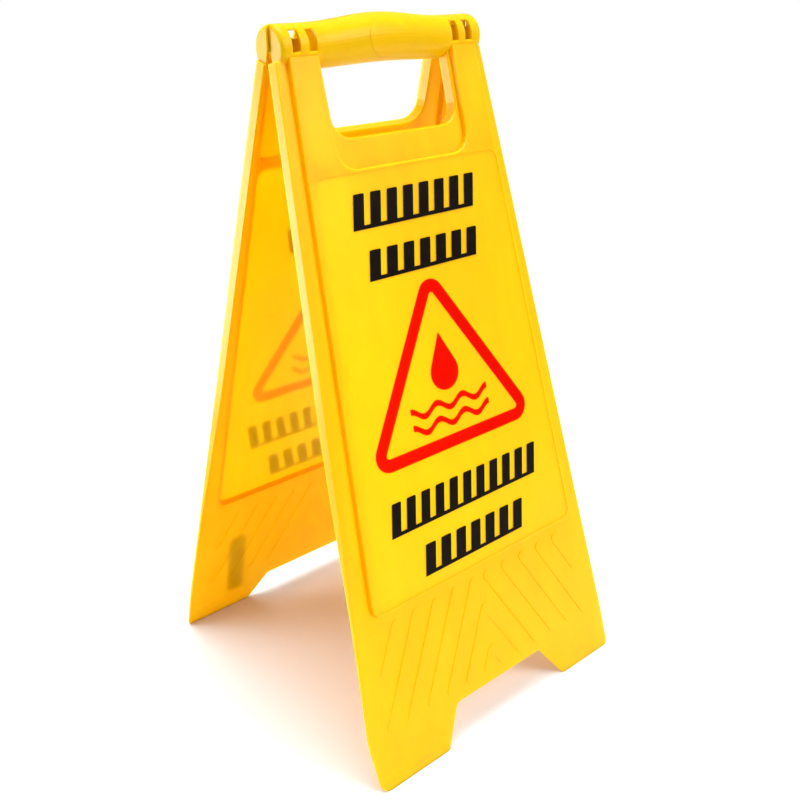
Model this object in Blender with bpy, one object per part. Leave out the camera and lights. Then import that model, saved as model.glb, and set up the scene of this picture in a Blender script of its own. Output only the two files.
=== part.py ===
"""Two-panel folding floor sign: two injection moulded leaves, alike but for the cut-out between
their feet, that snap together on short pegs inside a tubular carrying grip, with film graphics
and a blank label.

World frame: metres, +Z up, +X along the hinge, front leaf towards -Y, floor at z = 0.
Leaf frame: hinge axis on X through the origin, leaf hanging down -Z, outer face towards -Y.
"""
import math

import bmesh
import bpy
from mathutils import Matrix, Vector

MM = 0.001

# ---- leaf outline (mm) ----
LEAF_LENGTH = 598.3          # hinge axis to the front edge of the soles
TOP_HALF_WIDTH = 104.2       # at the height of the hinge axis
FOOT_HALF_WIDTH = 152.3      # at the soles
WALL = 2.6                   # moulded wall
BORDER_FACE = 10.7           # border front face, forward of the hinge axis
FOLD_GAP = 0.3               # rim to hinge plane, so two leaves close with twice this gap
SOLE_ALLOWANCE = 2.0         # length moulded past the soles, before they are cut flat
OPEN_HALF_ANGLE = 14.37      # degrees, each leaf from vertical when it stands open
OUTER_ROUND = 1.2            # round on the front outer edge
RIM_TOP = 11.0               # side rims start this far below the hinge axis
RIM_FULL = 270.0             # side rims keep their full depth down to here,
RIM_OUT = LEAF_LENGTH - 93.3  # and have run out to the sheet here
RIM_LEFT = 0.4               # rim left standing proud of the sheet below that
RIM_STEPS = 9
# ---- feet ----
LEFT_FOOT_CORNER = 13.0      # outer corners of the soles, left and right seen from the front
RIGHT_FOOT_CORNER = 7.0
FOOT_KNEE = 48.0             # height of the knee where the feet start to draw in
FOOT_KNEE_ROUND = 60.0
LEFT_FOOT_TUCK = 7.6         # how far each foot has drawn in at its sole
RIGHT_FOOT_TUCK = 1.6
FOOT_INNER_CORNER = 6.0
NOTCH_CORNER = 6.0
# cut-out between the feet: x of the left foot, left top, right top and right foot, and height
FRONT_NOTCH = (-69.5, -50.8, 56.5, 84.5, 36.9)
REAR_NOTCH = (-79.0, -53.0, 53.0, 79.0, 26.0)
# ---- raised face plate ----
PLATE_TOP_BORDER = 9.0       # border beside the plate at the hinge axis
PLATE_LOW_BORDER = 17.337    # and at the plate's lower edge
PLATE_STEP = 4.5             # height of the plate over the border
PLATE_TOP = 8.7              # top ledge below the hinge axis
PLATE_BOTTOM = LEAF_LENGTH - 148.8
PLATE_CORNER = 10.0
PLATE_DRAFT = 0.5
PLATE_ROUND = 0.9
# ---- recesses inside, behind the raised plate ----
RECESS_CORNER = 8.0
RECESS_SLOPE = 2.4           # how far the recess walls lean in towards its bottom
CROSS_RIB = 6.0              # rib between the main recess and the two beside the hand hole
# ---- sunk print field ----
FIELD_SINK = 0.6
FIELD_MARGIN = 3.0
FIELD_CORNER = 8.0
# ---- hand hole and the sunk zone round it ----
HOLE_HALF = TOP_HALF_WIDTH - 39.1
HOLE_BOTTOM = 71.6
HOLE_CORNER = 17.0
HOLE_ROUND = 1.2
SUNK_HALF = HOLE_HALF + 3.1
SUNK_BOTTOM = 95.3          # lower edge of the sunk zone, and of the bridge under the hole
SUNK_CORNER = 17.0
# ---- grip tube ----
TUBE_RADIUS = 17.2
TUBE_WALL = 2.5
PEG_END = TOP_HALF_WIDTH - 1.0   # tube end on the peg side
HOOK_END = TOP_HALF_WIDTH - 3.4  # tube end on the hook side
END_WALL = 2.3
END_ROUND = 3.5
GRIP_HALF = HOLE_HALF + 5.0  # half length of the swollen grip
GRIP_RISE = 3.35             # lift of the grip's centre in the middle
GRIP_SWELL = 1.65            # extra radius in the middle
PAD_HALF_WIDTH = 19.5
PAD_HALF_HEIGHT = 14.0
PAD_HEIGHT = 0.6
PAD_STEPS = 36
STOP_GAP = 0.15              # each half-shell's edge short of the plane where they meet
# ---- hinge windows, pegs and hooks ----
WINDOW_LOW = -6.8
WINDOW_HIGH = 9.8
WINDOW_BACK = 6.5            # windows are cut through the skin down to this far from the axis
WINDOWS = ((TOP_HALF_WIDTH - 35.2, TOP_HALF_WIDTH - 27.4),
           (TOP_HALF_WIDTH - 20.3, TOP_HALF_WIDTH - 12.3))
PEG_RADIUS = 3.0
PEG_CLEARANCE = 0.3
HOOK_WALL = 2.9
HOOK_MOUTH = 52.0            # degrees, half angle of the snap mouth
WEB_THICKNESS = 2.4
WEB_HALF = 5.0
SIDE_GAP = 0.4
PEG_STATIONS = (PEG_END - 26.2, PEG_END - 11.0)  # inboard face of each peg web
PEG_REACH = 3.5              # peg beyond its web
HOOK_SHORT = 0.1             # hook ends this much short of the peg's end
HOOK_NECK = 1.0              # neck of the hook narrower than its web on each side
# ---- chevron ribs below the plate ----
RIB_FIRST = 8.25
RIB_SIDE_MARGIN = 52.45      # outermost rib's upper end to the width of the feet
RIB_SLOPE = 0.565
RIB_WIDTH = 9.1
RIB_HEIGHT = 0.7
RIB_TOP = PLATE_BOTTOM + 14.0
RIB_BOTTOM = LEAF_LENGTH - 51.3
RIB_OUTER_BOTTOM = LEAF_LENGTH - 99.3
RIB_COUNT = 5
RIB_PITCH = (FOOT_HALF_WIDTH - RIB_SIDE_MARGIN - RIB_FIRST) / (RIB_COUNT - 1)
RIB_GROOVE = 0.5             # depth of the groove behind each rib
RIB_SKIN = 1.6               # how much narrower the groove is than its rib, on each side
# ---- graphics ----
FILM = 0.25
FILM_GAP = 0.3
PRINT_FIELD = 354.2          # height of the field that the drops below are drawn for
BAR_ROWS = ((114.5, 142.1, 68.0), (159.0, 183.0, 61.5), (362.8, 391.0, 89.0), (408.4, 435.0, 62.0))
BAR_WIDTH = 9.5
BAR_GAP = 6.5
BAR_SLANT = 0.22
BAR_RULE = 3.2               # rule under each row that ties its dashes into one film
TRI_TOP = 194.9
TRI_BOTTOM = 337.1
TRI_HALF = 99.0              # half width of the sharp-cornered triangle at its base
TRI_CORNER = 14.0
TRI_LOST = 14.5              # height that the rounded apex loses to the sharp one
TRI_BAND = 11.0
TRI_SHIFT = -2.0             # the printed triangle and what is in it sit this far off centre
DROP_TOP = 238.0
DROP_CENTRE = 272.0
DROP_RADIUS = 15.5
WAVE_LEVELS = (299.0, 313.0)
WAVE_HALF = 44.0
WAVE_HEIGHT = 3.6
WAVE_BAND = 5.2
WAVE_COUNT = 3
# ---- blank label on the rear leaf's outer face ----
LABEL = (85.0, 105.0, LEAF_LENGTH - 99.3, LEAF_LENGTH - 23.3)
LABEL_CORNER = 2.0

CIRCLE = 44                  # facets round the tube
THETA = math.radians(OPEN_HALF_ANGLE)
PLATE_FACE = BORDER_FACE + PLATE_STEP
FIELD_FACE = PLATE_FACE - FIELD_SINK
SHEET_BACK = BORDER_FACE - WALL  # inner face of the sheet, forward of the hinge axis
TRAY_TOP = TUBE_RADIUS + WALL    # the tray starts below the grip tube
AXIS_HEIGHT = LEAF_LENGTH * math.cos(THETA) - BORDER_FACE * math.sin(THETA)


def clear_scene():
    for obj in list(bpy.data.objects):
        bpy.data.objects.remove(obj, do_unlink=True)
    for mesh in list(bpy.data.meshes):
        bpy.data.meshes.remove(mesh)


def srgb(hex_value):
    out = []
    for shift in (16, 8, 0):
        c = ((hex_value >> shift) & 255) / 255.0
        out.append(c / 12.92 if c <= 0.04045 else ((c + 0.055) / 1.055) ** 2.4)
    return (*out, 1.0)


def material(name, hex_value, roughness, metallic=0.0):
    mat = bpy.data.materials.new(name)
    mat.use_nodes = True
    shader = mat.node_tree.nodes["Principled BSDF"]
    shader.inputs["Base Color"].default_value = srgb(hex_value)
    shader.inputs["Roughness"].default_value = roughness
    shader.inputs["Metallic"].default_value = metallic
    mat.diffuse_color = srgb(hex_value)
    return mat


def half_width(drop):
    """Half width of the leaf at a distance below the hinge axis."""
    return TOP_HALF_WIDTH + (FOOT_HALF_WIDTH - TOP_HALF_WIDTH) * drop / LEAF_LENGTH


def rounded(corners, steps=5):
    """Closed outline through (a, b, radius) corners, each replaced by a tangent arc."""
    out = []
    n = len(corners)
    for i, (a, b, r) in enumerate(corners):
        p = Vector((a, b))
        before = (Vector(corners[i - 1][:2]) - p).normalized()
        after = (Vector(corners[(i + 1) % n][:2]) - p).normalized()
        if r <= 0.0:
            out.append(p)
            continue
        half = math.acos(max(-1.0, min(1.0, before.dot(after)))) / 2.0
        reach = r / math.tan(half)
        centre = p + (before + after).normalized() * (r / math.sin(half))
        start = p + before * reach - centre
        end = p + after * reach - centre
        sweep = math.atan2(start.x * end.y - start.y * end.x, start.dot(end))
        for k in range(steps + 1):
            t = sweep * k / steps
            c, s = math.cos(t), math.sin(t)
            out.append(centre + Vector((start.x * c - start.y * s, start.x * s + start.y * c)))
    return out


def loft(name, rings):
    """Closed solid through rings of equal length, capped at both ends; sizes in mm."""
    bm = bmesh.new()
    face = bm.faces.new([bm.verts.new(p) for p in rings[0]])
    for i in range(1, len(rings)):
        made = bmesh.ops.extrude_face_region(bm, geom=[face])["geom"]
        new_face = [g for g in made if isinstance(g, bmesh.types.BMFace)][0]
        bm.verts.index_update()
        where = {tuple(round(c, 5) for c in p): k for k, p in enumerate(rings[i - 1])}
        for v in [loop.vert for loop in new_face.loops]:
            v.co = rings[i][where[tuple(round(c, 5) for c in v.co)]]
        if i > 1:
            bm.faces.remove(face)
        face = new_face
    bmesh.ops.recalc_face_normals(bm, faces=bm.faces)
    bmesh.ops.scale(bm, vec=(MM, MM, MM), verts=bm.verts)
    mesh = bpy.data.meshes.new(name)
    bm.to_mesh(mesh)
    bm.free()
    obj = bpy.data.objects.new(name, mesh)
    bpy.context.scene.collection.objects.link(obj)
    return obj


def prism(name, levels):
    """Loft along the leaf's thickness: levels are (y, outline) with outlines of (x, drop)."""
    return loft(name, [[Vector((p[0], y, -p[1])) for p in line] for y, line in levels])


def along_x(name, x0, x1, outline):
    """Straight solid along the hinge: the outline is (y, z)."""
    return loft(name, [[Vector((x, p[0], p[1])) for p in outline] for x in (x0, x1)])


def block(name, low, high):
    line = [(low[0], -low[2]), (high[0], -low[2]), (high[0], -high[2]), (low[0], -high[2])]
    return prism(name, [(low[1], line), (high[1], line)])


def boolean(target, tool, operation):
    """Applies a Boolean to the target and removes the tool."""
    mod = target.modifiers.new(operation.title(), "BOOLEAN")
    mod.operation = operation
    mod.solver = "EXACT"
    mod.object = tool
    graph = bpy.context.evaluated_depsgraph_get()
    mesh = bpy.data.meshes.new_from_object(target.evaluated_get(graph))
    target.modifiers.clear()
    old = target.data
    target.data = mesh
    bpy.data.meshes.remove(old)
    bpy.data.objects.remove(tool, do_unlink=True)
    return target


def add(target, tool):
    return boolean(target, tool, "UNION")


def cut(target, tool):
    return boolean(target, tool, "DIFFERENCE")


# ---- outlines of one leaf, as (x, drop below the hinge axis) ----

def plate_half(drop):
    """Half width of the raised plate at a distance below the hinge axis."""
    top = TOP_HALF_WIDTH - PLATE_TOP_BORDER
    low = half_width(PLATE_BOTTOM) - PLATE_LOW_BORDER
    return top + (low - top) * drop / PLATE_BOTTOM


def mirrored(right):
    """Closed corner list: the right-hand corners and their mirror images."""
    return right + [(-x, d, r) for x, d, r in reversed(right)]


def leaf_outline(inset, notch):
    knee = LEAF_LENGTH - FOOT_KNEE
    sole = LEAF_LENGTH + SOLE_ALLOWANCE - inset
    left_foot, left_top, right_top, right_foot, height = notch
    notch_top = LEAF_LENGTH - height - inset
    shoulder = (half_width(RIM_TOP) - inset, RIM_TOP, 0.0)
    bend = (half_width(knee) - inset, knee, FOOT_KNEE_ROUND)
    right_sole = (FOOT_HALF_WIDTH - RIGHT_FOOT_TUCK - inset, sole, RIGHT_FOOT_CORNER)
    left_sole = (-FOOT_HALF_WIDTH + LEFT_FOOT_TUCK + inset, sole, LEFT_FOOT_CORNER)
    cut_out = [(right_foot + inset, sole, FOOT_INNER_CORNER), (right_top + inset, notch_top, NOTCH_CORNER),
               (left_top - inset, notch_top, NOTCH_CORNER), (left_foot - inset, sole, FOOT_INNER_CORNER)]
    left = [left_sole, (-bend[0], bend[1], bend[2]), (-shoulder[0], shoulder[1], shoulder[2])]
    return rounded([shoulder, bend, right_sole] + cut_out + left)


def plate_outline(inset):
    sunk = SUNK_HALF + inset
    return rounded(mirrored([
        (sunk, SUNK_BOTTOM + inset, SUNK_CORNER), (sunk, PLATE_TOP + inset, 0.0),
        (plate_half(PLATE_TOP) - inset, PLATE_TOP + inset, 0.0),
        (plate_half(PLATE_BOTTOM) - inset, PLATE_BOTTOM - inset, PLATE_CORNER)]))


def recess_outline(inset):
    """Main recess behind the plate, below the sunk zone."""
    top = SUNK_BOTTOM + WALL + inset
    low = PLATE_BOTTOM - WALL - inset
    return rounded(mirrored([(plate_half(top) - WALL - inset, top, RECESS_CORNER),
                             (plate_half(low) - WALL - inset, low, RECESS_CORNER)]))


def side_recess_outline(inset, side):
    """Recess behind the plate beside the hand hole, on the side given as -1 or 1."""
    top = TRAY_TOP
    low = SUNK_BOTTOM + WALL - CROSS_RIB - inset
    near = SUNK_HALF + WALL + inset
    corners = [(near, top, 0.0), (plate_half(top) - WALL - inset, top, 0.0),
               (plate_half(low) - WALL - inset, low, RECESS_CORNER / 2.0), (near, low, RECESS_CORNER / 2.0)]
    return rounded([(side * x, d, r) for x, d, r in corners])


def hole_outline(grow, top):
    half = HOLE_HALF + grow
    low = HOLE_BOTTOM + grow
    return rounded([(half, top, 0.0), (half, low, HOLE_CORNER + grow), (-half, low, HOLE_CORNER + grow),
                    (-half, top, 0.0)])


def field_outline():
    top = SUNK_BOTTOM + FIELD_MARGIN
    low = PLATE_BOTTOM - FIELD_MARGIN
    return rounded(mirrored([(plate_half(top) - FIELD_MARGIN, top, FIELD_CORNER),
                             (plate_half(low) - FIELD_MARGIN, low, FIELD_CORNER)]))


# ---- the grip: a tube that swells and arches in the middle ----

def grip_shape(x):
    """Radius and centre lift of the grip's skin at a place along the hinge."""
    if abs(x) >= GRIP_HALF:
        return TUBE_RADIUS, 0.0
    f = math.cos(math.pi * x / (2.0 * GRIP_HALF)) ** 2
    return TUBE_RADIUS + GRIP_SWELL * f, GRIP_RISE * f


def grip_ring(x, offset):
    radius, lift = grip_shape(x)
    radius += offset
    up = (-math.sin(THETA) * lift, math.cos(THETA) * lift)
    ring = []
    for k in range(CIRCLE):
        a = 2.0 * math.pi * (k + 0.5) / CIRCLE
        ring.append(Vector((x, up[0] + radius * math.cos(a), up[1] + radius * math.sin(a))))
    return ring


def grip_stations(low, high, count=14):
    swell = [-GRIP_HALF + 2.0 * GRIP_HALF * k / count for k in range(count + 1)]
    return [low] + [x for x in swell if low < x < high] + [high]


def tube_skin():
    rings = []
    steps = 4
    for k in range(steps):
        a = math.pi / 2.0 * k / steps
        rings.append(grip_ring(-HOOK_END + END_ROUND * (1.0 - math.cos(a)), -END_ROUND * (1.0 - math.sin(a))))
    rings += [grip_ring(x, 0.0) for x in grip_stations(-HOOK_END + END_ROUND, PEG_END - END_ROUND)]
    for k in reversed(range(steps)):
        a = math.pi / 2.0 * k / steps
        rings.append(grip_ring(PEG_END - END_ROUND * (1.0 - math.cos(a)), -END_ROUND * (1.0 - math.sin(a))))
    return loft("tube_skin", rings)


def tube_core():
    rings = [grip_ring(x, -TUBE_WALL) for x in grip_stations(-HOOK_END + END_WALL, PEG_END - END_WALL)]
    return loft("tube_core", rings)


def grip_pad():
    """Oval blank pad that follows the skin of the grip."""
    half = PAD_HALF_WIDTH + 2.0 * TUBE_WALL
    pad = loft("pad", [grip_ring(x, PAD_HEIGHT) for x in grip_stations(-half, half)])
    turns = [2.0 * math.pi * (k + 0.5) / PAD_STEPS for k in range(PAD_STEPS)]
    oval = [(PAD_HALF_WIDTH * math.cos(t), PAD_HALF_HEIGHT * math.sin(t)) for t in turns]
    tool = prism("pad_oval", [(-2.0 * TUBE_RADIUS, oval), (-TUBE_RADIUS / 2.0, oval)])
    return boolean(pad, tool, "INTERSECT")


def half_spaces():
    """Blocks behind the fold plane and behind the plane where the half-shells meet when open."""
    fold = block("fold_plane", (-200.0, -FOLD_GAP, -700.0), (200.0, 120.0, 60.0))
    stop = block("stop_plane", (-200.0, -STOP_GAP, -60.0), (200.0, 120.0, 60.0))
    turn = Matrix.Rotation(THETA, 4, "X")
    stop.data.transform(turn)
    return fold, stop


# ---- hinge details ----

def peg_web(x):
    """Web from the half-shell to the axis, with the peg on its outboard face."""
    turns = [math.pi * k / 10 for k in range(11)]
    circle = [(WEB_HALF * math.sin(t), WEB_HALF * math.cos(t)) for t in turns]
    reach = TUBE_RADIUS - TUBE_WALL / 2.0
    outline = [(-reach, WEB_HALF)] + circle + [(-reach, -WEB_HALF)]
    web = along_x("peg_web", x, x + WEB_THICKNESS, outline)
    turns = [2.0 * math.pi * k / 28 for k in range(28)]
    ring = [(PEG_RADIUS * math.cos(t), PEG_RADIUS * math.sin(t)) for t in turns]
    peg = along_x("peg", x + WEB_THICKNESS / 2.0, x + WEB_THICKNESS + PEG_REACH, ring)
    return add(web, peg)


def hook_web(x):
    """Web on the other side of the leaf that ends in a snap hook round the mating leaf's peg."""
    inner = PEG_RADIUS + PEG_CLEARANCE
    outer = inner + HOOK_WALL
    mouth = math.radians(HOOK_MOUTH)
    steps = 20
    span = [mouth + (2.0 * math.pi - 2.0 * mouth) * k / steps for k in range(steps + 1)]
    arc = [(outer * math.cos(a), outer * math.sin(a)) for a in span]
    back = [(inner * math.cos(a), inner * math.sin(a)) for a in reversed(span)]
    x0 = -(x + WEB_THICKNESS + PEG_REACH - HOOK_SHORT)
    x1 = -(x + WEB_THICKNESS + SIDE_GAP)
    hook = along_x("hook", x0, x1, arc + back)
    reach = TUBE_RADIUS - TUBE_WALL / 2.0
    neck_end = -inner - HOOK_WALL / 2.0
    half = WEB_HALF - HOOK_NECK
    neck = along_x("neck", x0, x1, [(-reach, half), (neck_end, half), (neck_end, -half), (-reach, -half)])
    return add(hook, neck)


# ---- chevron ribs ----

def capsule(name, a, b, width, y0, y1, steps=5):
    """Bar with round ends from a to b, both (x, drop), between two levels of thickness."""
    d = (Vector(b) - Vector(a)).normalized()
    n = Vector((-d.y, d.x)) * (width / 2.0)
    line = []
    for end, sign in ((Vector(a), 1.0), (Vector(b), -1.0)):
        for k in range(steps + 1):
            t = math.pi * k / steps
            line.append(end + n * (sign * math.cos(t)) - d * (sign * math.sin(t) * width / 2.0))
    return prism(name, [(y0, line), (y1, line)])


def chevron_ribs(leaf):
    """Raised slanting ribs that meet in chevrons, each with a shallow groove behind it."""
    middle = -(BORDER_FACE - WALL / 2.0)
    front = -(BORDER_FACE + RIB_HEIGHT)
    for k in range(-2, RIB_COUNT):
        start = RIB_FIRST + RIB_PITCH * k
        top = RIB_TOP if start > 0.0 else RIB_TOP - start / RIB_SLOPE + 2.0
        low = RIB_OUTER_BOTTOM if k == RIB_COUNT - 1 else RIB_BOTTOM
        for side in (-1.0, 1.0):
            a = (side * (start + RIB_SLOPE * (top - RIB_TOP)), top)
            b = (side * (start + RIB_SLOPE * (low - RIB_TOP)), low)
            add(leaf, capsule("rib", a, b, RIB_WIDTH, middle, front))
            if start > 0.0:
                cut(leaf, capsule("groove", a, b, RIB_WIDTH - 2.0 * RIB_SKIN, -SHEET_BACK - RIB_GROOVE, 0.0))
    return leaf


def rim_taper():
    """Everything behind the side rims, which run out in a soft curve towards the soles."""
    back = []
    for k in range(RIM_STEPS + 1):
        t = k / RIM_STEPS
        ease = t * t * (3.0 - 2.0 * t)
        depth = -FOLD_GAP + (FOLD_GAP - SHEET_BACK + RIM_LEFT) * ease
        back.append((depth, -(RIM_FULL + (RIM_OUT - RIM_FULL) * t)))
    far = WALL + SHEET_BACK
    floor = -(LEAF_LENGTH + 3.0 * SOLE_ALLOWANCE)
    outline = back + [(-SHEET_BACK + RIM_LEFT, floor), (far, floor), (far, -RIM_FULL)]
    return along_x("rim_taper", -FOOT_HALF_WIDTH - WALL, FOOT_HALF_WIDTH + WALL, outline)


# ---- one leaf ----

def sheet(notch):
    """Border sheet with its side rims still solid, rounded along the front edge."""
    r = OUTER_ROUND
    return prism("leaf", [(-BORDER_FACE, leaf_outline(r, notch)),
                          (-BORDER_FACE + 0.3 * r, leaf_outline(0.3 * r, notch)),
                          (-BORDER_FACE + r, leaf_outline(0.0, notch)), (1.0, leaf_outline(0.0, notch))])


def plate():
    q = PLATE_ROUND
    return prism("plate", [(-PLATE_FACE, plate_outline(PLATE_DRAFT + q)),
                           (-PLATE_FACE + 0.3 * q, plate_outline(PLATE_DRAFT + 0.3 * q)),
                           (-PLATE_FACE + q, plate_outline(PLATE_DRAFT)),
                           (-BORDER_FACE, plate_outline(0.0)),
                           (-BORDER_FACE + WALL / 2.0, plate_outline(0.0))])


def tray():
    """Hollow between the side rims, open at the back and at the soles, with a lip left round the hole."""
    low = LEAF_LENGTH + 10.0 * SOLE_ALLOWANCE
    outline = [(half_width(TRAY_TOP) - WALL, TRAY_TOP), (half_width(low) - WALL, low),
               (-half_width(low) + WALL, low), (-half_width(TRAY_TOP) + WALL, TRAY_TOP)]
    hollow = prism("tray", [(-SHEET_BACK, outline), (2.0 * WALL, outline)])
    lip = hole_outline(WALL, 4.0)
    return cut(hollow, prism("hole_lip", [(-BORDER_FACE, lip), (3.0 * WALL, lip)]))


def recess(name, outline):
    """Sloping-walled recess that takes the plate down to the moulded wall, from behind."""
    return prism(name, [(-PLATE_FACE + WALL, outline(RECESS_SLOPE)), (-SHEET_BACK + 1.0, outline(0.0))])


def hand_hole():
    r = HOLE_ROUND
    top = TUBE_RADIUS / 3.0
    return prism("hole", [(-BORDER_FACE - WALL, hole_outline(r, top)), (-BORDER_FACE, hole_outline(r, top)),
                          (-BORDER_FACE + r, hole_outline(0.0, top)), (3.5 * WALL, hole_outline(0.0, top))])


def floor_block():
    """Everything below the floor, turned into the leaf's own frame."""
    block_below = block("floor", (-200.0, -300.0, -60.0), (200.0, 300.0, 0.0))
    block_below.data.transform(Matrix.Translation((0.0, 0.0, -AXIS_HEIGHT * MM)))
    block_below.data.transform(Matrix.Rotation(THETA, 4, "X"))
    return block_below


def build_leaf(notch):
    leaf = sheet(notch)
    add(leaf, plate())
    cut(leaf, tray())
    cut(leaf, recess("main_recess", recess_outline))
    for side in (-1.0, 1.0):
        cut(leaf, recess("side_recess", lambda inset: side_recess_outline(inset, side)))
    cut(leaf, prism("field_sink", [(-PLATE_FACE - WALL, field_outline()), (-FIELD_FACE, field_outline())]))
    cut(leaf, hand_hole())
    chevron_ribs(leaf)
    cut(leaf, rim_taper())
    add(leaf, tube_skin())
    add(leaf, grip_pad())
    cut(leaf, tube_core())
    for low_x, high_x in WINDOWS:
        for side in (-1.0, 1.0):
            a, b = sorted((side * low_x, side * high_x))
            cut(leaf, block("window", (a, -2.0 * TUBE_RADIUS, WINDOW_LOW), (b, -WINDOW_BACK, WINDOW_HIGH)))
    for tool in half_spaces():
        cut(leaf, tool)
    for x in PEG_STATIONS:
        add(leaf, peg_web(x))
        add(leaf, hook_web(x))
    cut(leaf, floor_block())
    return leaf


def place(obj, rear, mat):
    """Hang a piece on the hinge axis at its open angle; the rear leaf is the same turned round."""
    obj.location = (0.0, 0.0, AXIS_HEIGHT * MM)
    obj.rotation_euler = (-THETA, 0.0, math.pi if rear else 0.0)
    obj.data.materials.clear()
    obj.data.materials.append(mat)
    return obj


def smooth(obj, angle=35.0):
    for poly in obj.data.polygons:
        poly.use_smooth = True
    obj.data.set_sharp_from_angle(angle=math.radians(angle))
    return obj


# ---- film graphics on the sunk field ----

def film_levels(face):
    near = -(face + FILM_GAP)
    return near - FILM, near


def laid(drop):
    """Drop of a place in the print, with the print's layout spread over the field."""
    return SUNK_BOTTOM + (drop - SUNK_BOTTOM) * (PLATE_BOTTOM - SUNK_BOTTOM) / PRINT_FIELD


def triangle_outline(inset):
    foot = laid(TRI_BOTTOM)
    slope = TRI_HALF / (foot - laid(TRI_TOP) + TRI_LOST)
    side = math.sqrt(1.0 + slope * slope)
    apex = foot - TRI_HALF / slope + inset * side / slope
    base = foot - inset
    half = (base - apex) * slope
    r = max(TRI_CORNER - inset, 2.5)
    return rounded([(TRI_SHIFT, apex, r), (TRI_SHIFT + half, base, r), (TRI_SHIFT - half, base, r)], 8)


def film(name, outline, face, hole=None):
    y0, y1 = film_levels(face)
    obj = prism(name, [(y0, outline), (y1, outline)])
    if hole:
        cut(obj, prism("film_hole", [(y0 - 1.0, hole), (y1 + 1.0, hole)]))
    return obj


def drop_outline():
    """Water drop: a circle with two straight flanks that meet in a point."""
    centre = laid(DROP_CENTRE)
    rise = centre - laid(DROP_TOP)
    touch = math.acos(DROP_RADIUS / rise)
    steps = 26
    out = [(TRI_SHIFT, centre - rise)]
    for k in range(steps + 1):
        a = touch + (2.0 * math.pi - 2.0 * touch) * k / steps
        out.append((TRI_SHIFT + DROP_RADIUS * math.sin(a), centre - DROP_RADIUS * math.cos(a)))
    return out


def wave_outline(level):
    steps = 12 * WAVE_COUNT
    upper, lower = [], []
    for k in range(steps + 1):
        x = TRI_SHIFT - WAVE_HALF + 2.0 * WAVE_HALF * k / steps
        d = level - WAVE_HEIGHT * math.cos(2.0 * math.pi * WAVE_COUNT * k / steps)
        upper.append((x, d - WAVE_BAND / 2.0))
        lower.append((x, d + WAVE_BAND / 2.0))
    return upper + lower[::-1]


def bar_row(name, row):
    """A row of slanted plain dashes that takes the place of one printed line."""
    top, bottom, half = laid(row[0]), laid(row[1]), row[2]
    pitch = BAR_WIDTH + BAR_GAP
    lean = BAR_SLANT * (bottom - top)
    count = int((2.0 * half - lean + BAR_GAP) // pitch)
    width = (2.0 * half - lean - (count - 1) * BAR_GAP) / count
    y0, y1 = film_levels(FIELD_FACE)
    foot = bottom - BAR_RULE
    rule = [(-half, bottom), (half - lean, bottom), (half - lean + BAR_SLANT * BAR_RULE, foot),
            (-half + BAR_SLANT * BAR_RULE, foot)]
    obj = prism(name, [(y0, rule), (y1, rule)])
    for k in range(count):
        x = -half + k * (width + BAR_GAP)
        low = bottom - BAR_RULE / 2.0
        shift = lean * (1.0 - BAR_RULE / 2.0 / (bottom - top))
        line = rounded([(x + lean, top, 1.0), (x + lean + width, top, 1.0),
                        (x + lean - shift + width, low, 0.0), (x + lean - shift, low, 0.0)], 2)
        add(obj, prism("dash", [(y0, line), (y1, line)]))
    return obj


def graphics(side, rear, red, black):
    triangle = film(side + "_triangle_film", triangle_outline(0.0), FIELD_FACE, triangle_outline(TRI_BAND))
    pieces = [(triangle, red),
              (film(side + "_drop_film", drop_outline(), FIELD_FACE), red)]
    for k, level in enumerate(WAVE_LEVELS):
        pieces.append((film(side + "_wave_film_" + "ab"[k], wave_outline(laid(level)), FIELD_FACE), red))
    for k, row in enumerate(BAR_ROWS):
        pieces.append((bar_row(side + "_dash_row_film_" + "abcd"[k], row), black))
    for obj, mat in pieces:
        place(obj, rear, mat)


clear_scene()
yellow = material("yellow_polypropylene", 0xFFCB08, 0.32)
red_film = material("red_film", 0xDE1A12, 0.35)
black_film = material("black_film", 0x15120E, 0.38)
label_film = material("label_film", 0xE9B80C, 0.5)

for name, notch, is_rear in (("front_panel", FRONT_NOTCH, False), ("rear_panel", REAR_NOTCH, True)):
    panel = place(build_leaf(notch), is_rear, yellow)
    panel.name = name
    smooth(panel)

graphics("front", False, red_film, black_film)
graphics("rear", True, red_film, black_film)
low_x, high_x, low_d, high_d = LABEL
label_line = rounded([(low_x, low_d, LABEL_CORNER), (high_x, low_d, LABEL_CORNER),
                      (high_x, high_d, LABEL_CORNER), (low_x, high_d, LABEL_CORNER)], 3)
place(film("rear_blank_label", label_line, BORDER_FACE + RIB_HEIGHT), True, label_film)
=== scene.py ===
import math

import bmesh
import bpy
from mathutils import Matrix, Vector

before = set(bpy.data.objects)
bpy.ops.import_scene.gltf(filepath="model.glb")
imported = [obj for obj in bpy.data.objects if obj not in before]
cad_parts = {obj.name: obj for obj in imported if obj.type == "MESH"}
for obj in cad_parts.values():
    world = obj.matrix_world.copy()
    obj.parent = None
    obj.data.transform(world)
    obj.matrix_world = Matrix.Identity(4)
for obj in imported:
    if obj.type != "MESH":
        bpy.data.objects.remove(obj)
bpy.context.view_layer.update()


# ---- the two leaves -------------------------------------------------------------------------
# Front and rear leaf: one-piece injection mouldings in yellow polypropylene, 2.6 mm thick, each
# with its half of the tubular grip. The pegs and hooks inside the grip snap together, so the
# pair needs no loose pin.

MM = 0.001


def srgb(code):
    """Linear colour of an sRGB hex value."""
    channels = [((code >> shift) & 255) / 255.0 for shift in (16, 8, 0)]
    return (*[c / 12.92 if c <= 0.04045 else ((c + 0.055) / 1.055) ** 2.4 for c in channels], 1.0)


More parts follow.
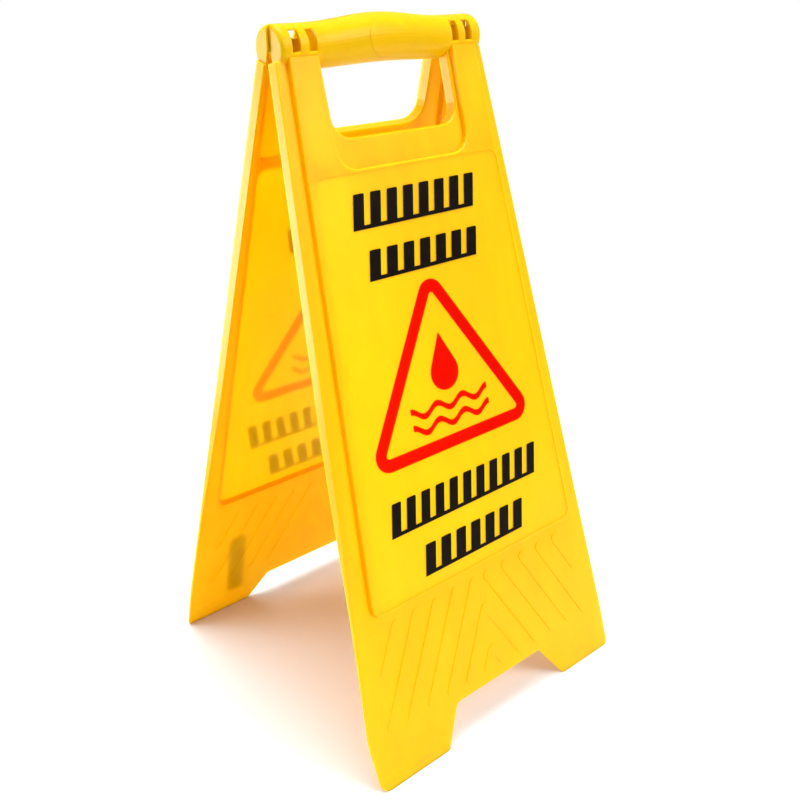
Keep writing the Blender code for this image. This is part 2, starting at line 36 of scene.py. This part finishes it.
def add_node(material, kind, settings=None, inputs=None):
    """Adds a node, sets its properties, and fills or links its inputs by name or number.
    Inputs 6 and 7 of a colour mix are its two colours, and output 2 is the result."""
    tree = material.node_tree
    new = tree.nodes.new(kind)
    for name, value in (settings or {}).items():
        setattr(new, name, value)
    for name, value in (inputs or {}).items():
        if isinstance(value, bpy.types.NodeSocket):
            tree.links.new(value, new.inputs[name])
        else:
            new.inputs[name].default_value = value
    return new


def moulded_polypropylene():
    """Semi-gloss polypropylene as it leaves a polished mould: light scatters inside, so the thin
    walls glow where it comes from behind, and the skin has a very fine orange peel."""
    deep_yellow, light_yellow = srgb(0xFFB600), srgb(0xFFBC02)
    rubbed_yellow = srgb(0xD9A628)
    grain_size = 1.1 * MM        # orange peel of the mould's skin
    warp_size = 85.0 * MM        # slow waves where the thin panel has shrunk unevenly
    gloss_size = 26.0 * MM       # patches of slightly duller skin
    streak_width = 17.0 * MM     # pigment streaks that run with the melt, down the leaf
    streak_length = 210.0 * MM
    scuff_height = 55.0 * MM     # the soles and lowest edges are rubbed by the floor
    scratch_width = 0.9 * MM
    scratch_length = 30.0 * MM
    scatter_depth = 9.0 * MM     # how far red light travels inside the wall
    scatter_ratio = (1.0, 0.95, 0.3)

    mat = bpy.data.materials.new("injection_moulded_polypropylene")
    mat.use_nodes = True
    shader = mat.node_tree.nodes["Principled BSDF"]
    place = add_node(mat, "ShaderNodeTexCoord").outputs["Object"]

    stretched = add_node(mat, "ShaderNodeMapping", {"vector_type": "POINT"}, {
        "Vector": place, "Scale": (1.0 / streak_width, 1.0 / streak_width, 1.0 / streak_length)})
    streaks = add_node(mat, "ShaderNodeTexNoise", {}, {
        "Vector": stretched.outputs["Vector"], "Scale": 1.0, "Detail": 3.0, "Roughness": 0.55})
    streak_mask = add_node(mat, "ShaderNodeMapRange", {}, {
        "Value": streaks.outputs["Fac"], "From Min": 0.3, "From Max": 0.7})
    pigment = add_node(mat, "ShaderNodeMix", {"data_type": "RGBA"}, {
        "Factor": streak_mask.outputs["Result"], 6: deep_yellow, 7: light_yellow})

    height = add_node(mat, "ShaderNodeSeparateXYZ", {}, {"Vector": place})
    low = add_node(mat, "ShaderNodeMapRange", {"interpolation_type": "SMOOTHSTEP"}, {
        "Value": height.outputs["Z"], "From Min": 0.0, "From Max": scuff_height,
        "To Min": 1.0, "To Max": 0.0})
    rubbed = add_node(mat, "ShaderNodeMapping", {}, {
        "Vector": place, "Rotation": (0.0, 0.3, 0.2),
        "Scale": (1.0 / scratch_length, 1.0 / scratch_length, 1.0 / scratch_width)})
    scratches = add_node(mat, "ShaderNodeTexNoise", {}, {
        "Vector": rubbed.outputs["Vector"], "Scale": 1.0, "Detail": 2.0})
    scratch_mask = add_node(mat, "ShaderNodeMapRange", {}, {
        "Value": scratches.outputs["Fac"], "From Min": 0.58, "From Max": 0.72})
    scuff = add_node(mat, "ShaderNodeMath", {"operation": "MULTIPLY"}, {
        0: low.outputs["Result"], 1: scratch_mask.outputs["Result"]})
    colour = add_node(mat, "ShaderNodeMix", {"data_type": "RGBA"}, {
        "Factor": scuff.outputs["Value"], 6: pigment.outputs[2], 7: rubbed_yellow})

    patches = add_node(mat, "ShaderNodeTexNoise", {}, {
        "Vector": place, "Scale": 1.0 / gloss_size, "Detail": 4.0, "Roughness": 0.6})
    gloss = add_node(mat, "ShaderNodeMapRange", {}, {
        "Value": patches.outputs["Fac"], "From Min": 0.3, "From Max": 0.7,
        "To Min": 0.30, "To Max": 0.37})
    dull = add_node(mat, "ShaderNodeMath", {"operation": "MULTIPLY_ADD"}, {
        0: scuff.outputs["Value"], 1: 0.25, 2: gloss.outputs["Result"]})

    warp = add_node(mat, "ShaderNodeTexNoise", {}, {
        "Vector": place, "Scale": 1.0 / warp_size, "Detail": 1.0})
    waves = add_node(mat, "ShaderNodeBump", {}, {
        "Height": warp.outputs["Fac"], "Strength": 0.35, "Distance": 2.2 * MM})
    peel = add_node(mat, "ShaderNodeTexNoise", {}, {
        "Vector": place, "Scale": 1.0 / grain_size, "Detail": 2.0})
    skin = add_node(mat, "ShaderNodeBump", {}, {
        "Height": peel.outputs["Fac"], "Strength": 0.10, "Distance": 0.25 * MM,
        "Normal": waves.outputs["Normal"]})
    marks = add_node(mat, "ShaderNodeBump", {"invert": True}, {
        "Height": scuff.outputs["Value"], "Strength": 0.4, "Distance": 0.1 * MM,
        "Normal": skin.outputs["Normal"]})

    links = mat.node_tree.links
    links.new(colour.outputs[2], shader.inputs["Base Color"])
    links.new(dull.outputs["Value"], shader.inputs["Roughness"])
    links.new(marks.outputs["Normal"], shader.inputs["Normal"])
    shader.inputs["IOR"].default_value = 1.49
    shader.inputs["Specular IOR Level"].default_value = 0.16
    shader.subsurface_method = "RANDOM_WALK"
    shader.inputs["Subsurface Weight"].default_value = 1.0
    shader.inputs["Subsurface Radius"].default_value = scatter_ratio
    shader.inputs["Subsurface Scale"].default_value = scatter_depth
    return mat


yellow = moulded_polypropylene()
for name in ("front_panel", "rear_panel"):
    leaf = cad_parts[name]
    leaf.data.materials.clear()
    leaf.data.materials.append(yellow)


# ---- the print ------------------------------------------------------------------------------
# Rounded warning triangle, water drop, waves and plain dash rows: screen-printed ink on thin
# film, red and black, bonded to the sunk field of each leaf.

def screen_printed_ink(name, deep, thin, cover):
    """Satin solvent ink: nearly even, with a faint cloth grain left by the screen and a
    slightly thinner coat in patches. Where it doesn't cover, it is a glaze that lets red
    light through: the red ink is nearly all glaze, and the black hides what is below."""
    mesh_pitch = 0.9 * MM        # drawn coarser than the real 0.1 mm screen so that it can show
    cloud_size = 9.0 * MM
    mat = bpy.data.materials.new(name)
    mat.use_nodes = True
    shader = mat.node_tree.nodes["Principled BSDF"]
    place = add_node(mat, "ShaderNodeTexCoord").outputs["Object"]
    cloud = add_node(mat, "ShaderNodeTexNoise", {}, {
        "Vector": place, "Scale": 1.0 / cloud_size, "Detail": 3.0})
    coat = add_node(mat, "ShaderNodeMapRange", {}, {
        "Value": cloud.outputs["Fac"], "From Min": 0.35, "From Max": 0.75})
    colour = add_node(mat, "ShaderNodeMix", {"data_type": "RGBA"}, {
        "Factor": coat.outputs["Result"], 6: srgb(deep), 7: srgb(thin)})
    screen = add_node(mat, "ShaderNodeTexVoronoi", {}, {
        "Vector": place, "Scale": 1.0 / mesh_pitch, "Randomness": 0.35})
    gloss = add_node(mat, "ShaderNodeMapRange", {}, {
        "Value": cloud.outputs["Fac"], "To Min": 0.34, "To Max": 0.46})
    grain = add_node(mat, "ShaderNodeBump", {}, {
        "Height": screen.outputs["Distance"], "Strength": 0.15, "Distance": 0.05 * MM})
    links = mat.node_tree.links
    links.new(colour.outputs[2], shader.inputs["Base Color"])
    links.new(gloss.outputs["Result"], shader.inputs["Roughness"])
    links.new(grain.outputs["Normal"], shader.inputs["Normal"])
    shader.inputs["IOR"].default_value = 1.5
    shader.inputs["Specular IOR Level"].default_value = 0.06
    red_glaze = (1.0, 0.2, 0.05, 1.0)
    glaze = add_node(mat, "ShaderNodeBsdfTransparent", {}, {"Color": red_glaze})
    layered = add_node(mat, "ShaderNodeMixShader", {}, {
        "Fac": cover, 1: glaze.outputs["BSDF"], 2: shader.outputs["BSDF"]})
    links.new(layered.outputs["Shader"], mat.node_tree.nodes["Material Output"].inputs["Surface"])
    return mat


red_ink = screen_printed_ink("red_screen_printed_ink", 0xD00A00, 0xD61202, 0.2)
black_ink = screen_printed_ink("black_screen_printed_ink", 0x0D0704, 0x160E09, 1.0)
for name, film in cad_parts.items():
    if name.endswith("_panel") or "label" in name:
        continue
    film.data.materials.clear()
    film.data.materials.append(black_ink if "dash_row" in name else red_ink)


# ---- the blank label ------------------------------------------------------------------------
# Small matt polyester label stuck low on the rear leaf's outer face, left without any text.

def matt_polyester_film():
    """Matt label film: flat and even, with a faint paper-like mottle and a dull face."""
    mottle_size = 2.5 * MM
    dark_straw, light_straw = srgb(0xE2AE10), srgb(0xEDBC1C)
    scatter_depth = 1.5 * MM
    mat = bpy.data.materials.new("matt_polyester_label_film")
    mat.use_nodes = True
    shader = mat.node_tree.nodes["Principled BSDF"]
    place = add_node(mat, "ShaderNodeTexCoord").outputs["Object"]
    mottle = add_node(mat, "ShaderNodeTexNoise", {}, {
        "Vector": place, "Scale": 1.0 / mottle_size, "Detail": 5.0, "Roughness": 0.65})
    colour = add_node(mat, "ShaderNodeMix", {"data_type": "RGBA"}, {
        "Factor": mottle.outputs["Fac"], 6: dark_straw, 7: light_straw})
    gloss = add_node(mat, "ShaderNodeMapRange", {}, {
        "Value": mottle.outputs["Fac"], "To Min": 0.48, "To Max": 0.6})
    tooth = add_node(mat, "ShaderNodeBump", {}, {
        "Height": mottle.outputs["Fac"], "Strength": 0.12, "Distance": 0.1 * MM})
    links = mat.node_tree.links
    links.new(colour.outputs[2], shader.inputs["Base Color"])
    links.new(gloss.outputs["Result"], shader.inputs["Roughness"])
    links.new(tooth.outputs["Normal"], shader.inputs["Normal"])
    shader.subsurface_method = "RANDOM_WALK"
    shader.inputs["Subsurface Weight"].default_value = 1.0
    shader.inputs["Subsurface Radius"].default_value = (1.0, 0.8, 0.3)
    shader.inputs["Subsurface Scale"].default_value = scatter_depth
    return mat


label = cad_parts["rear_blank_label"]
label.data.materials.clear()
label.data.materials.append(matt_polyester_film())


# ---- studio ---------------------------------------------------------------------------------
# Round white table in a white room that is kept dim, so that little of it shows in the gloss.
# A key softbox on the right lights the faces and one overhead the grip. Two from behind, one of
# them low on the left, light the side rims and shine through the thin walls.

def white_board():
    """Matt white studio board, almost even, with a very faint mottle."""
    mat = bpy.data.materials.new("matt_white_studio_board")
    mat.use_nodes = True
    shader = mat.node_tree.nodes["Principled BSDF"]
    place = add_node(mat, "ShaderNodeTexCoord").outputs["Object"]
    mottle = add_node(mat, "ShaderNodeTexNoise", {}, {
        "Vector": place, "Scale": 3.0, "Detail": 3.0})
    colour = add_node(mat, "ShaderNodeMix", {"data_type": "RGBA"}, {
        "Factor": mottle.outputs["Fac"], 6: srgb(0xF4F4F3), 7: srgb(0xF8F8F7)})
    mat.node_tree.links.new(colour.outputs[2], shader.inputs["Base Color"])
    shader.inputs["Roughness"].default_value = 0.8
    shader.inputs["Specular IOR Level"].default_value = 0.2
    return mat


table_radius = 1.25
board = bmesh.new()
bmesh.ops.create_circle(board, cap_ends=True, segments=96, radius=table_radius)
floor_mesh = bpy.data.meshes.new("floor")
board.to_mesh(floor_mesh)
board.free()
floor = bpy.data.objects.new("floor", floor_mesh)
bpy.context.scene.collection.objects.link(floor)
floor.data.materials.append(white_board())

room_light, room_seen = 0.32, 1.0   # the room as it lights the sign, and as it is seen
world = bpy.data.worlds.new("white_studio")
bpy.context.scene.world = world
world.use_nodes = True
room = world.node_tree.nodes["Background"]
room.inputs["Color"].default_value = (1.0, 1.0, 1.0, 1.0)
path = add_node(world, "ShaderNodeLightPath")
strength = add_node(world, "ShaderNodeMapRange", {}, {
    "Value": path.outputs["Is Camera Ray"], "To Min": room_light, "To Max": room_seen})
world.node_tree.links.new(strength.outputs["Result"], room.inputs["Strength"])
bpy.context.scene.view_settings.view_transform = "Standard"

target = Vector((0.0, 0.0, 0.3))    # half way up the sign
for name, spot, size, power in (    # metres and watts
        ("key_softbox", (0.8, -2.0, 1.8), 1.4, 45.0),
        ("overhead_softbox", (-0.2, 0.2, 2.6), 1.5, 60.0),
        ("left_back_panel", (-1.5, 1.6, 0.15), 0.8, 34.0),
        ("back_softbox", (0.2, 2.2, 0.9), 1.2, 17.0)):
    lamp = bpy.data.lights.new(name, "AREA")
    lamp.size = size
    lamp.energy = power
    holder = bpy.data.objects.new(name, lamp)
    holder.location = spot
    holder.rotation_euler = (target - Vector(spot)).to_track_quat("-Z", "Y").to_euler()
    holder.visible_camera = False
    bpy.context.scene.collection.objects.link(holder)


# ---- camera ---------------------------------------------------------------------------------
# Three-quarter view from the front left, a little above the grip, looking down the front leaf.

eye = (-0.5136, -0.6246, 0.6200)
yaw, pitch, roll = 0.7011, 0.4065, 0.0244          # radians: from +Y towards +X, down, clockwise
reach = math.cos(pitch)
forward = Vector((math.sin(yaw) * reach, math.cos(yaw) * reach, -math.sin(pitch)))
level = Vector((math.cos(yaw), -math.sin(yaw), 0.0))
down = forward.cross(level)
right = math.cos(roll) * level + math.sin(roll) * down
down = math.cos(roll) * down - math.sin(roll) * level
camera = bpy.data.objects.new("camera", bpy.data.cameras.new("camera"))
camera.data.sensor_width = 36.0
camera.data.lens = 42.836
camera.data.shift_x = 0.0040
camera.data.shift_y = -0.0101
turn = Matrix((right, -down, -forward)).transposed()
camera.matrix_world = Matrix.Translation(eye) @ turn.to_4x4()
bpy.context.scene.collection.objects.link(camera)
bpy.context.scene.camera = camera
